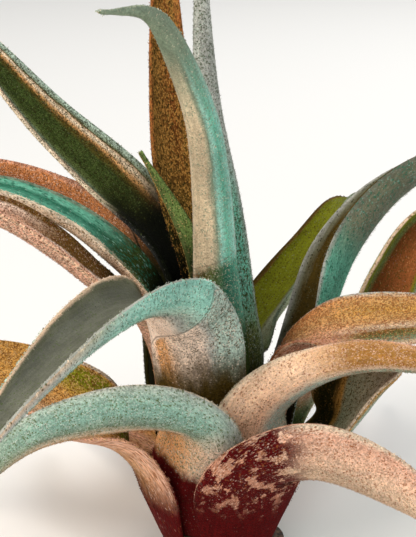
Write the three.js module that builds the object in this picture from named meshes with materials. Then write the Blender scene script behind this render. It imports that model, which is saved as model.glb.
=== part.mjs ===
// A small air plant: a rosette of channelled leaves on a short stem. Millimetres, +Z up.
// The origin is the middle of the flat underside of the stem.
import * as THREE from 'three';

// Stem: a short cone on a flat spot that the plant rests on
const restRadius = 9;
const stemFootRadius = 9.4;
const stemFootBottom = 0.4;
const stemFootTop = 0.9;
const stemShoulderRadius = 8.4;
const stemShoulderHeight = 1.15;
const stemNeckRadius = 2.2;
const stemNeckHeight = 17.6;
const stemTipHeight = 19.2;
const stemSides = 36;

// Sheaths: the leaf bases stand round the stem in shells, from shell 0 inside to shell 8 outside.
// Each shell passes three rings, and each ring has its radius and height on the inmost and outmost shell.
const shellCount = 8;
const rings = [
  { innerRadius: 3.0, outerRadius: 9.2, innerHeight: 18.0, outerHeight: 1.6 },
  { innerRadius: 4.0, outerRadius: 12.2, innerHeight: 25.0, outerHeight: 8.5 },
  { innerRadius: 4.4, outerRadius: 15.2, innerHeight: 33.0, outerHeight: 16.0 },
];
const sheathThickness = 0.7;
const sheathEdgeThinning = 0.14;
const sheathFootWidth = 0.55;
const sheathSpread = 0.6;
const sheathFullWidthAt = 0.8;

// Blades: thick along the midrib, thin at the edges and towards the tip
const bladeThickness = 1.5;
const bladeTipThinning = 0.35;
const bladeEdgeThinning = 0.5;
const thinnestBlade = 0.6;
const thicknessPerHalfWidth = 1.2;
const tipHalfWidth = 0.35;
const taperPower = 1.35;
const tipPower = 0.85;
const foldSettlesAt = 0.5;

// Where the sheath becomes a blade, as a part of the sheath, and over what length it does so and turns
const neckStart = 0.85;
const usualNeck = 18;
const usualTurnStart = 2;
const usualTurnLength = 22;

// How finely a leaf is divided: fine steps along its midrib, and the faces kept from them
const fineSteps = 80;
const stepsPerFace = 4;
const facesAcross = 6;
const lengthSamples = 400;

// Leaf skins, as the hairs colour them
const teal = 0x7fae9f;
const sage = 0x9fb0a0;
const rust = 0xb07a4a;
const pink = 0xd3a184;
const tan = 0xcf9a5c;
const olive = 0x6f7a2c;
const green = 0x7c9a50;
const bark = 0x6b4a33;

// Leaves, from the heart of the rosette outwards. azimuth and shell place the sheath, which passes as many
// rings as rungs says. halfSheath and halfBlade are half widths along the skin. fold is how far each half of
// the channel curls, in degrees, at its start and from its middle on. turn twists the blade about its midrib.
// The midrib passes the points [reach, height, azimuth].
const leaves = [
  { name: 'leaf_heart_spear', skin: green, azimuth: 120, shell: 0, halfSheath: 3, halfBlade: 2.5,
    neck: 10, fold: [34, 34], turn: 0,
    midrib: [[5.5, 46, 146], [10.5, 54, 146], [14.5, 60.5, 151]] },
  { name: 'leaf_heart_bud', skin: green, azimuth: 215, shell: 0, halfSheath: 3, halfBlade: 2,
    neck: 8, fold: [40, 40], turn: 0,
    midrib: [[4.2, 40, 215]] },
  { name: 'leaf_spire_right', skin: teal, azimuth: 340, shell: 1, halfSheath: 4.6, halfBlade: 5.5,
    fold: [55, 75], turn: -20,
    midrib: [[4.5, 38, 333], [1.5, 54.5, 40], [3.5, 67.5, 114], [6.5, 80.5, 115], [12.5, 94.5, 106]] },
  { name: 'leaf_spire_back', skin: rust, azimuth: 88, shell: 1, halfSheath: 4.5, halfBlade: 6.4,
    neck: 30, fold: [55, 65], turn: 0,
    midrib: [[7.3, 43, 106], [15.5, 56, 115], [20, 72.5, 115], [23, 87.5, 114], [30.5, 99.5, 112]] },
  { name: 'leaf_spire_front', skin: teal, azimuth: 266, shell: 2, halfSheath: 4.6, halfBlade: 5,
    fold: [80, 90], turn: 0,
    midrib: [[9, 44, 261], [10.5, 57, 259], [15.5, 68, 258], [21, 77.5, 253], [33.5, 86, 253],
      [50.5, 89, 252]] },
  { name: 'leaf_left_high', skin: sage, azimuth: 150, shell: 2, halfSheath: 5, halfBlade: 7.7,
    neck: 28, fold: [60, 70], turn: -55, turnStart: 8, turnLength: 30,
    midrib: [[9.5, 41.5, 142], [24, 52.2, 134], [37.5, 61.6, 138.5], [47.5, 71.8, 143], [58, 83.2, 149],
      [64.5, 89.5, 151.5]] },
  { name: 'leaf_right_olive', skin: olive, azimuth: 78, shell: 3, halfSheath: 4.6, halfBlade: 9.4,
    neck: 44, fold: [70, 80], turn: -10,
    midrib: [[17, 24.6, 80], [26, 26, 78.5], [32.5, 30.6, 72.5], [39.5, 37, 67], [48, 43, 65],
      [54, 42.8, 65], [60, 39, 65.3]] },
  { name: 'leaf_left_teal', skin: teal, azimuth: 182, shell: 3, halfSheath: 5.1, halfBlade: 6,
    neck: 32, fold: [62, 75], turn: -15,
    midrib: [[11.5, 39.5, 184], [18.5, 47.5, 184], [26, 53, 184], [36, 56.5, 183], [46.5, 54, 182],
      [55.5, 48, 182]] },
  { name: 'leaf_right_tan', skin: tan, azimuth: 334, shell: 4, halfSheath: 5.4, halfBlade: 8.4,
    neck: 34, fold: [34, 44], turn: 80, turnStart: 1, turnLength: 17,
    midrib: [[10, 31.2, 347], [16, 33.6, 356], [26.5, 35.2, 358], [38, 35.4, 355], [53, 28.7, 352]] },
  { name: 'leaf_left_pink', skin: pink, azimuth: 195, shell: 4, halfSheath: 3, halfBlade: 9.2,
    neck: 60, fold: [70, 85], turn: -8,
    midrib: [[11, 31.7, 189.5], [14.4, 38.5, 191], [21, 43.8, 206.5], [28.5, 50.2, 208.5],
      [35, 54.7, 204.5], [42.5, 56.6, 199], [51, 53.3, 196], [58, 46.6, 194]] },
  { name: 'leaf_front_arch', skin: teal, azimuth: 252, shell: 5, halfSheath: 7.6, halfBlade: 9.5,
    sheathLength: 24, neck: 13, fold: [46, 85], turn: -3,
    midrib: [[13, 32, 249], [13.9, 36.6, 247], [16.6, 38.7, 247], [20.5, 42.1, 248], [31, 45.3, 248],
      [45, 45.9, 248], [60.5, 44.8, 248.5], [74.5, 42.2, 248.5], [87, 38, 248.5]] },
  { name: 'leaf_right_high', skin: teal, azimuth: 37.5, shell: 5, halfSheath: 7.4, halfBlade: 13.2,
    neck: 40, fold: [80, 95], turn: -8,
    midrib: [[15.5, 21.5, 43.8], [22.9, 31, 44], [29.5, 40.5, 45], [39.1, 49.3, 42.5],
      [50.2, 53.5, 39.2], [61.5, 51, 36.5]] },
  { name: 'leaf_left_rust', skin: rust, azimuth: 157, shell: 5, halfSheath: 6, halfBlade: 8.8,
    fold: [62, 75], turn: 0,
    midrib: [[18, 31.7, 131], [27, 42.6, 126], [38, 48, 131], [51, 51.1, 137], [60, 50.6, 140],
      [71, 45.6, 144]] },
  { name: 'leaf_right_pink', skin: pink, azimuth: 299, shell: 6, halfSheath: 7.2, halfBlade: 4.5,
    neck: 24, rungs: 2, fold: [62, 80], turn: -35,
    midrib: [[14, 24, 288], [17.5, 30, 301], [24.5, 34.5, 317], [31.5, 34, 331], [39.5, 30.5, 341],
      [49.5, 22.5, 347]] },
  { name: 'leaf_right_outer', skin: sage, azimuth: 8.5, shell: 7, halfSheath: 7.6, halfBlade: 9.4,
    rungs: 2, fold: [80, 90], turn: 60, turnLength: 14,
    midrib: [[19.5, 18.4, 9], [23.5, 25.2, 17.6], [29.5, 38, 23.2], [36, 45.5, 26], [47, 49, 24],
      [60, 44.5, 21.5]] },
  { name: 'leaf_left_low', skin: sage, azimuth: 235, shell: 7, halfSheath: 7.5, halfBlade: 8.2,
    rungs: 2, fold: [62, 80], turn: 40,
    midrib: [[16, 22.5, 254], [21, 25.8, 244], [29.5, 26.8, 231], [37.5, 25, 223], [45, 18.5, 217],
      [51, 11, 213]] },
  { name: 'leaf_front_spotted', skin: pink, azimuth: 285, shell: 8, halfSheath: 8.5, halfBlade: 9,
    rungs: 2, fold: [62, 75], turn: -30,
    midrib: [[18, 16.5, 288], [22.5, 19, 303], [29.5, 17.6, 315], [37.5, 13.4, 322], [44.5, 7.2, 326]] },
  { name: 'leaf_left_outer', skin: tan, azimuth: 205, shell: 8, halfSheath: 7.5, halfBlade: 10,
    rungs: 2, fold: [55, 70], turn: -60, turnStart: 0, turnLength: 12,
    midrib: [[15, 15, 208], [19.5, 19.5, 199], [26, 24, 190], [35, 27, 181], [45, 27.2, 175],
      [57, 22, 172]] },
  { name: 'leaf_back_upper', skin: sage, azimuth: 102, shell: 4, halfSheath: 3, halfBlade: 6,
    neck: 36, rungs: 2, fold: [62, 75], turn: 0,
    midrib: [[12.5, 22.5, 100], [22, 23, 95], [34, 20.5, 91], [46, 15, 88], [56, 9, 86]] },
  { name: 'leaf_back_left', skin: rust, azimuth: 114, shell: 6, halfSheath: 5.5, halfBlade: 6,
    fold: [62, 75], turn: 0,
    midrib: [[17, 17.5, 113], [27, 17, 109], [38, 14, 105], [48, 9.5, 101], [56, 6, 99]] },
  { name: 'leaf_back_right', skin: pink, azimuth: 61, shell: 8, halfSheath: 6, halfBlade: 6.5,
    rungs: 2, fold: [62, 75], turn: 0,
    midrib: [[17, 15, 61], [26, 16.5, 61.5], [39, 16, 63], [52, 12.5, 65], [62, 8.5, 66], [68, 6, 66.5]] },
  { name: 'leaf_back_low', skin: tan, azimuth: 135, shell: 7, halfSheath: 6, halfBlade: 6.5,
    rungs: 2, fold: [62, 75], turn: 0,
    midrib: [[17, 10.5, 133], [25, 11, 131], [35, 9.5, 127], [44, 7.5, 124], [52, 6, 122]] },
];

const radians = THREE.MathUtils.degToRad;
const lerp = THREE.MathUtils.lerp;

function clamp01(value) {
  return Math.min(Math.max(value, 0), 1);
}

function ease(value) {
  const x = clamp01(value);
  return x * x * (3 - 2 * x);
}

function around(azimuth) {
  return new THREE.Vector3(Math.cos(radians(azimuth)), Math.sin(radians(azimuth)), 0);
}

function polar([reach, height, azimuth]) {
  return around(azimuth).multiplyScalar(reach).setZ(height);
}

// The rings that a shell passes, as radius and height
function shellRings(shell) {
  const out = shell / shellCount;
  return rings.map((ring) => ({
    radius: lerp(ring.innerRadius, ring.outerRadius, out),
    height: lerp(ring.innerHeight, ring.outerHeight, out),
  }));
}

// The midrib: up the sheath's rings, then through the blade's own points
function midribCurve(leaf) {
  const sheathPoints = shellRings(leaf.shell)
    .slice(0, leaf.rungs ?? rings.length)
    .map((ring) => polar([ring.radius, ring.height, leaf.azimuth]));
  const bladePoints = leaf.midrib.map(polar);
  return new THREE.CatmullRomCurve3([...sheathPoints, ...bladePoints], false, 'centripetal');
}

// A frame carried along the midrib without twisting: tangent, face (towards the upper side) and side
function midribFrames(points, azimuth) {
  const last = points.length - 1;
  const face = around(azimuth).negate();
  return points.map((point, i) => {
    const tangent = points[Math.min(i + 1, last)].clone().sub(points[Math.max(i - 1, 0)]).normalize();
    face.addScaledVector(tangent, -face.dot(tangent)).normalize();
    return { point, tangent, face: face.clone() };
  });
}

// The thickness of a leaf: even in the sheath, thinner to the edges and the tip in the blade
function thicknessAt(across, along, section) {
  const edge = across * across;
  const sheathPart = sheathThickness * (1 - sheathEdgeThinning * edge);
  const bladePart = bladeThickness * (1 - bladeTipThinning * along) * (1 - bladeEdgeThinning * edge);
  const most = Math.max(thinnestBlade, section.halfWidth * thicknessPerHalfWidth);
  return Math.min(lerp(sheathPart, bladePart, section.blade), most);
}

// The length of a sheath, from its foot to the outmost ring of its shell
function sheathLengthOf(leaf) {
  const [foot, , top] = shellRings(leaf.shell);
  return leaf.sheathLength ?? Math.hypot(top.radius - foot.radius, top.height - foot.height);
}

// How wide a leaf is and how far it curls at a distance along its midrib, and how much of a blade it is there
function sectionAt(leaf, distance, length) {
  const sheathLength = sheathLengthOf(leaf);
  const blade = ease((distance - neckStart * sheathLength) / (leaf.neck ?? usualNeck));

  const opening = clamp01(distance / (sheathFullWidthAt * sheathLength));
  const halfSheath = leaf.halfSheath * lerp(sheathFootWidth, 1, Math.sin(0.5 * Math.PI * opening));
  const bladeReach = clamp01((distance - sheathLength) / (length - sheathLength));
  const taper = (1 - bladeReach ** taperPower) ** tipPower;
  const halfBlade = Math.max(leaf.halfBlade * taper, tipHalfWidth);
  const halfWidth = lerp(halfSheath, halfBlade, blade);

  const [foot, waist, top] = shellRings(leaf.shell);
  const climb = 2 * clamp01(distance / sheathLength);
  const shellRadius = climb < 1
    ? lerp(foot.radius, waist.radius, climb)
    : lerp(waist.radius, top.radius, climb - 1);
  const sheathFold = halfWidth / (shellRadius + sheathSpread);
  const bladeFold = radians(lerp(leaf.fold[0], leaf.fold[1], ease(distance / length / foldSettlesAt)));
  return { blade, halfWidth, fold: lerp(sheathFold, bladeFold, blade) };
}

// The frame, turned about the midrib once the leaf has left its sheath
function turnedFrame(leaf, frame, distance) {
  const start = sheathLengthOf(leaf) + (leaf.turnStart ?? usualTurnStart);
  const angle = radians(leaf.turn) * ease((distance - start) / (leaf.turnLength ?? usualTurnLength));
  const side = frame.tangent.clone().cross(frame.face);
  const face = frame.face.clone().multiplyScalar(Math.cos(angle)).addScaledVector(side, Math.sin(angle));
  side.crossVectors(frame.tangent, face);
  return { face, side };
}

// One row of points across the leaf, on its upper and under faces
function leafRow(leaf, frame, along, length) {
  const distance = along * length;
  const { face, side } = turnedFrame(leaf, frame, distance);
  const section = sectionAt(leaf, distance, length);
  const curlRadius = section.halfWidth / section.fold;

  const upper = [];
  const under = [];
  for (let j = 0; j <= facesAcross; j += 1) {
    const across = 2 * j / facesAcross - 1;
    const curl = across * section.fold;
    const middle = frame.point.clone()
      .addScaledVector(side, curlRadius * Math.sin(curl))
      .addScaledVector(face, curlRadius * (1 - Math.cos(curl)));
    const outward = face.clone().multiplyScalar(Math.cos(curl)).addScaledVector(side, -Math.sin(curl));
    const half = 0.5 * thicknessAt(across, along, section);
    upper.push(middle.clone().addScaledVector(outward, half));
    under.push(middle.clone().addScaledVector(outward, -half));
  }
  return { upper, under };
}

// A closed leaf: the upper and under faces, joined along both edges, the foot and the tip
function leafGeometry(leaf) {
  const curve = midribCurve(leaf);
  curve.arcLengthDivisions = lengthSamples;
  const points = curve.getSpacedPoints(fineSteps);
  const length = curve.getLength();
  const frames = midribFrames(points, leaf.azimuth);

  const rows = [];
  for (let i = 0; i <= fineSteps; i += stepsPerFace) {
    rows.push(leafRow(leaf, frames[i], i / fineSteps, length));
  }

  const pointsAcross = facesAcross + 1;
  const positions = [];
  for (const key of ['upper', 'under']) {
    for (const row of rows) {
      row[key].forEach((point) => positions.push(point.x, point.y, point.z));
    }
  }

  const upperAt = (i, j) => i * pointsAcross + j;
  const underAt = (i, j) => (rows.length + i) * pointsAcross + j;
  const faces = [];
  const addQuad = (a, b, c, d) => faces.push(a, b, c, a, c, d);
  for (let i = 0; i < rows.length - 1; i += 1) {
    for (let j = 0; j < facesAcross; j += 1) {
      addQuad(upperAt(i, j), upperAt(i, j + 1), upperAt(i + 1, j + 1), upperAt(i + 1, j));
      addQuad(underAt(i, j), underAt(i + 1, j), underAt(i + 1, j + 1), underAt(i, j + 1));
    }
    addQuad(upperAt(i, 0), upperAt(i + 1, 0), underAt(i + 1, 0), underAt(i, 0));
    addQuad(upperAt(i, facesAcross), underAt(i, facesAcross), underAt(i + 1, facesAcross),
      upperAt(i + 1, facesAcross));
  }
  const tip = rows.length - 1;
  for (let j = 0; j < facesAcross; j += 1) {
    addQuad(upperAt(0, j), underAt(0, j), underAt(0, j + 1), upperAt(0, j + 1));
    addQuad(upperAt(tip, j), upperAt(tip, j + 1), underAt(tip, j + 1), underAt(tip, j));
  }

  const geometry = new THREE.BufferGeometry();
  geometry.setAttribute('position', new THREE.Float32BufferAttribute(positions, 3));
  geometry.setIndex(faces);
  geometry.computeVertexNormals();
  return geometry;
}

function makeLeaf(leaf) {
  const material = new THREE.MeshStandardMaterial({ color: leaf.skin, roughness: 0.9, metalness: 0 });
  const mesh = new THREE.Mesh(leafGeometry(leaf), material);
  mesh.name = leaf.name;
  return mesh;
}

// The stem: turned about the plant's axis, with a flat underside
function makeStem() {
  const profile = [
    new THREE.Vector2(0, 0),
    new THREE.Vector2(restRadius, 0),
    new THREE.Vector2(stemFootRadius, stemFootBottom),
    new THREE.Vector2(stemFootRadius, stemFootTop),
    new THREE.Vector2(stemShoulderRadius, stemShoulderHeight),
    new THREE.Vector2(stemNeckRadius, stemNeckHeight),
    new THREE.Vector2(0, stemTipHeight),
  ];
  const geometry = new THREE.LatheGeometry(profile, stemSides);
  geometry.rotateX(Math.PI / 2);
  const material = new THREE.MeshStandardMaterial({ color: bark, roughness: 0.95, metalness: 0 });
  const mesh = new THREE.Mesh(geometry, material);
  mesh.name = 'stem';
  return mesh;
}

const plant = new THREE.Group();
plant.add(makeStem());
leaves.forEach((leaf) => plant.add(makeLeaf(leaf)));

export default plant;
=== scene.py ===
import math
import bpy
import numpy as np
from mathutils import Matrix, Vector


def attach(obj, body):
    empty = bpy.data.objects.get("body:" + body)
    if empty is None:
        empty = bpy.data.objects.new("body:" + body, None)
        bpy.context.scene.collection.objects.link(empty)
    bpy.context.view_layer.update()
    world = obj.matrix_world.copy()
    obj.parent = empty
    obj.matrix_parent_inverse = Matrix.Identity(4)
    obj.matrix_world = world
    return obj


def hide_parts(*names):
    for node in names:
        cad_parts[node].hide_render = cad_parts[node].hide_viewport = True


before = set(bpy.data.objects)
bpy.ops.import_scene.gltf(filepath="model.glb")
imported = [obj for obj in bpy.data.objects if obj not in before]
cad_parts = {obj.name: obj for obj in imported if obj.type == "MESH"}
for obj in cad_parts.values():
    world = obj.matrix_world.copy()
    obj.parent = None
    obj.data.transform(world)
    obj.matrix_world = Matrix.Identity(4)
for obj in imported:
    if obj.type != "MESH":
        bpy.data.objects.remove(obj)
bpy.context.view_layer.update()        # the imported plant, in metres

mm = 0.001

# Camera: level with the crown and a little above it, as in the photograph
cameraPlace = {
    "aim": (-2.4, 0.0, 44.0),   # mm
    "distance": 300.0,   # mm
    "elevation": 15.0,   # degrees
    "lens": 134.1,
    "sensor": 36.0,
    "nearest": 10.0,   # mm
}

# Soft boxes: place and size in mm, power in watts, aimed as the camera is
softBoxes = {
    "keyBox": {"place": (-420, -380, 620), "size": 420, "power": 5.0, "colour": "#fff6ea"},
    "fillBox": {"place": (560, -420, 330), "size": 620, "power": 1.0, "colour": "#eef4ff"},
    "backBox": {"place": (320, 520, 520), "size": 420, "power": 2.4, "colour": "#ffffff"},
    "lowBox": {"place": (-160, -560, 60), "size": 360, "power": 0.8, "colour": "#fff1e2"},
}
skyLight = {"colour": "#ffffff", "strength": 0.42}

# Paints of the skin and its hairs
paints = {
    "teal": "#66ab93", "paleTeal": "#92c6b6", "deepTeal": "#2f6b55", "iceTeal": "#a6cabb",
    "dullTeal": "#8fb5a5", "seaGrey": "#a3b7aa", "greyGreen": "#80907a", "mistGrey": "#aeb0a8",
    "greyOlive": "#75765f", "ash": "#6c6e61", "darkGreen": "#36441f", "mossGreen": "#5a683c",
    "freshGreen": "#71894a", "olive": "#757a1c", "paleOlive": "#9ca387", "oliveBrown": "#4f3f18",
    "deepOlive": "#28270e", "deepShade": "#0a0d07", "cream": "#e0cfb6", "petal": "#f6dfcc",
    "beige": "#d8c8af", "oldLinen": "#cdbb9c", "sand": "#d3b89c", "blush": "#f0cba9", "pink": "#dcab91",
    "rose": "#ca9278", "apricot": "#e2a973", "tan": "#c4935f", "gold": "#c0904a", "honey": "#ad7c3c",
    "orange": "#bd7a49", "clay": "#b87848", "rust": "#945830", "rustBrown": "#643818",
    "umber": "#6e5126", "bark": "#5a4030", "maroon": "#560f10", "paleHair": "#f0e8da",
    "greyHair": "#d3dad0", "goldHair": "#e2bd80", "pinkHair": "#f2d2be", "greenHair": "#b0bf94",
}

# The leaf rule, the same as the plant's own, in mm
sheathRule = {
    "shells": 8,
    "rings": [   # inner radius, outer radius, inner height, outer height
        (3.0, 9.2, 18.0, 1.6),
        (4.0, 12.2, 25.0, 8.5),
        (4.4, 15.2, 33.0, 16.0),
    ],
    "thickness": 0.7, "edgeThinning": 0.14, "footWidth": 0.55, "spread": 0.6, "fullWidthAt": 0.8,
}
bladeRule = {
    "thickness": 1.5, "tipThinning": 0.35, "edgeThinning": 0.5, "thinnest": 0.6,
    "thicknessPerHalfWidth": 1.2, "tipHalfWidth": 0.35, "taperPower": 1.35, "tipPower": 0.85,
    "foldSettlesAt": 0.5, "neckStart": 0.85, "neck": 18.0, "turnStart": 2.0, "turnLength": 22.0,
    "fold": (62, 75),   # degrees, at the neck and where it has settled
}
leafGrid = {"steps": 80, "finer": 40, "rows": 44, "columns": 10, "narrowest": 0.5}
stations = np.linspace(0, 1, leafGrid["steps"] + 1)   # along every leaf


def colourOf(name):   # a paint's name, as linear red, green, blue and alpha
    text = paints.get(name, name).lstrip("#")
    channels = [int(text[i:i + 2], 16) / 255 for i in (0, 2, 4)]
    linear = [c / 12.92 if c <= 0.04045 else ((c + 0.055) / 1.055) ** 2.4 for c in channels]
    return (*linear, 1.0)


# Shader helpers

def wire(tree, value, socket):   # joins a socket to a socket, or sets its plain value
    if isinstance(value, bpy.types.NodeSocket):
        tree.links.new(value, socket)
    else:
        socket.default_value = value


def setInputs(node, values):
    for name, value in values.items():
        node.inputs[name].default_value = value


def sums(tree, operation, *values):
    made = tree.nodes.new("ShaderNodeMath")
    made.operation = operation
    for socket, value in zip(made.inputs, values):
        wire(tree, value, socket)
    return made.outputs["Value"]


def plus(tree, first, second):
    return sums(tree, "ADD", first, second)


def minus(tree, first, second):
    return sums(tree, "SUBTRACT", first, second)


def times(tree, first, second):
    return sums(tree, "MULTIPLY", first, second)


def inverse(tree, value):   # the rest, up to 1
    return minus(tree, 1.0, value)


def mixColours(tree, amount, first, second, way="MIX"):
    made = tree.nodes.new("ShaderNodeMix")
    made.data_type = "RGBA"
    made.blend_type = way
    colours = [socket for socket in made.inputs if socket.type == "RGBA"]
    wire(tree, amount, made.inputs[0])
    wire(tree, first, colours[0])
    wire(tree, second, colours[1])
    return next(socket for socket in made.outputs if socket.type == "RGBA")


def shade(tree, colour, tone):   # a colour made lighter or darker
    grey = tree.nodes.new("ShaderNodeCombineColor")
    for channel in ("Red", "Green", "Blue"):
        wire(tree, tone, grey.inputs[channel])
    return mixColours(tree, 1.0, colour, grey.outputs["Color"], "MULTIPLY")


def fade(tree, value, low, high, outLow=0.0, outHigh=1.0):   # a soft step from low to high
    made = tree.nodes.new("ShaderNodeMapRange")
    made.interpolation_type = "SMOOTHSTEP"
    for name, given in (("Value", value), ("From Min", low), ("From Max", high),
                        ("To Min", outLow), ("To Max", outHigh)):
        wire(tree, given, made.inputs[name])
    return made.outputs["Result"]


def attribute(tree, name):
    made = tree.nodes.new("ShaderNodeAttribute")
    made.attribute_name = name
    split = tree.nodes.new("ShaderNodeSeparateXYZ")
    wire(tree, made.outputs["Vector"], split.inputs["Vector"])
    return split.outputs


def rampOf(tree, factor, bands):   # bands are paints, each at its place from -1 to 1
    ramp = tree.nodes.new("ShaderNodeValToRGB")
    stops = ramp.color_ramp.elements
    while len(stops) < len(bands):
        stops.new(0.5)
    for stop, (place, paint) in zip(stops, bands.items()):
        stop.position = 0.5 + 0.5 * place
        stop.color = colourOf(paint)
    wire(tree, factor, ramp.inputs["Fac"])
    return ramp.outputs["Color"]


def addBump(tree, height, shader, strength, relief):   # relief in mm
    bump = tree.nodes.new("ShaderNodeBump")
    setInputs(bump, {"Strength": strength, "Distance": relief * mm})
    wire(tree, height, bump.inputs["Height"])
    wire(tree, bump.outputs["Normal"], shader.inputs["Normal"])


# Patterns of the skin: size in mm, how many times as long as wide, and a seed of their own
patterns = {
    "wander": {"size": 1.4, "stretch": 6.0, "seed": 0},
    "cloud": {"size": 4.5, "stretch": 2.0, "seed": 0, "detail": 3.0},
    "ridge": {"size": 0.6, "stretch": 14.0, "seed": 19},
    "blotch": {"stretch": 1.3, "seed": 29, "detail": 4.0},   # each face has its own size
    "crowd": {"size": 1.6, "seed": 43},   # and its own stretch, from here on
    "speck": {"size": 0.24, "seed": 7},
    "grain": {"size": 0.19, "seed": 13},
}


def patternPlace(tree, name, given):   # a place on the skin, in grains of the pattern
    pattern = {**patterns[name], **given}
    x, y, leafSeed = attribute(tree, "skinPlace")
    place = tree.nodes.new("ShaderNodeCombineXYZ")
    longer = times(tree, pattern["size"], pattern["stretch"])
    wire(tree, sums(tree, "DIVIDE", x, pattern["size"]), place.inputs["X"])
    wire(tree, sums(tree, "DIVIDE", y, longer), place.inputs["Y"])
    wire(tree, plus(tree, leafSeed, pattern["seed"]), place.inputs["Z"])
    return place.outputs["Vector"]


def noiseOf(tree, name, **given):   # soft noise
    noise = tree.nodes.new("ShaderNodeTexNoise")
    setInputs(noise, {"Scale": 1.0, "Detail": patterns[name].get("detail", 2.0), "Roughness": 0.65})
    wire(tree, patternPlace(tree, name, given), noise.inputs["Vector"])
    return noise.outputs["Fac"]


def cellsOf(tree, name, **given):   # small cells like scales: two chance values and the way to the middle
    cells = tree.nodes.new("ShaderNodeTexVoronoi")
    cells.inputs["Scale"].default_value = 1.0
    wire(tree, patternPlace(tree, name, given), cells.inputs["Vector"])
    split = tree.nodes.new("ShaderNodeSeparateColor")
    wire(tree, cells.outputs["Color"], split.inputs["Color"])
    return split.outputs["Red"], split.outputs["Green"], cells.outputs["Distance"]


# Skin: what the patterns do to its colour and its relief

skinRule = {
    "bandWander": 0.06,   # how far the bands wander across the leaf
    "edgeWander": 0.08,   # how far the cloud moves the edge of a base, foot or tip
    "middle": (0.3, 0.7),   # where most of a noise lies
    "ridgeTones": (0.88, 1.1),
    "cloudTones": (0.84, 1.14),
    "blotchStart": 0.72,   # the noise that the first blotches need,
    "blotchSpread": 0.4,   # and how much less when there are many
    "blotchEdge": 0.05,
    "blotchFade": 0.1,   # of the leaf's length
    "leastBlotch": (0.0, 0.05),   # an amount below it fades out
    "bareBlotch": 0.8,   # how free of dots a blotch is,
    "bareBase": 0.94,   # and the base
    "dotShare": 0.8,
    "dotEdge": 0.05,
    "leastDots": (0.0, 0.04),
    "dotRim": (0.35, 0.65),   # where a dot pales, from its middle outwards,
    "dotPaler": 0.3,   # and how much of it is left
    "crowdFrom": (0.35, 0.65),
    "crowding": (0.5, 1.3),
    "strengths": {"Speck": 0.9, "Grain": 0.6},
    "lineWidth": 0.0022,   # of the leaf's length
    "lineDepth": 0.85,
    "grainRelief": 0.6,
    "roughness": (0.6, 0.85),
}


def makeBandGroup():   # where a point lies across the leaf, from 0 to 1, wandering a little
    tree = bpy.data.node_groups.new("leafBands", "ShaderNodeTree")
    tree.interface.new_socket("Across", in_out="OUTPUT", socket_type="NodeSocketFloat")
    across = attribute(tree, "leafPlace")["X"]
    wander = minus(tree, noiseOf(tree, "wander"), 0.5)
    wander = times(tree, wander, 2 * skinRule["bandWander"])
    place = plus(tree, sums(tree, "MULTIPLY_ADD", across, 0.5, 0.5), wander)
    wire(tree, place, tree.nodes.new("NodeGroupOutput").inputs["Across"])
    return tree


def scattered(tree, cells, crowd, amount, strength):   # dots on some of the cells, more where they crowd
    value, spare, way = cells
    share = times(tree, amount, skinRule["dotShare"])
    share = times(tree, share, fade(tree, crowd, *skinRule["crowdFrom"], *skinRule["crowding"]))
    edge = skinRule["dotEdge"]
    part = fade(tree, value, minus(tree, share, edge), plus(tree, share, edge), 1.0, 0.0)
    paler = strength * skinRule["dotPaler"]
    part = times(tree, part, fade(tree, way, *skinRule["dotRim"], strength, paler))
    return times(tree, part, fade(tree, amount, *skinRule["leastDots"]))


skinColours = ("Bands", "Foot", "Base", "Tip", "Speck", "Grain", "Blotch")
skinNumbers = ("Foot from", "Foot to", "Foot slant", "Line", "Base from", "Base to", "Tip from", "Tip to",
               "Speck amount", "Grain amount", "Blotch amount", "Blotch size", "Blotch reach", "Contrast",
               "Stretch", "Sharpness")
skinKinds = {"Color": (skinColours, ("Colour",)), "Float": (skinNumbers, ("Height", "Roughness", "Light"))}


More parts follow.
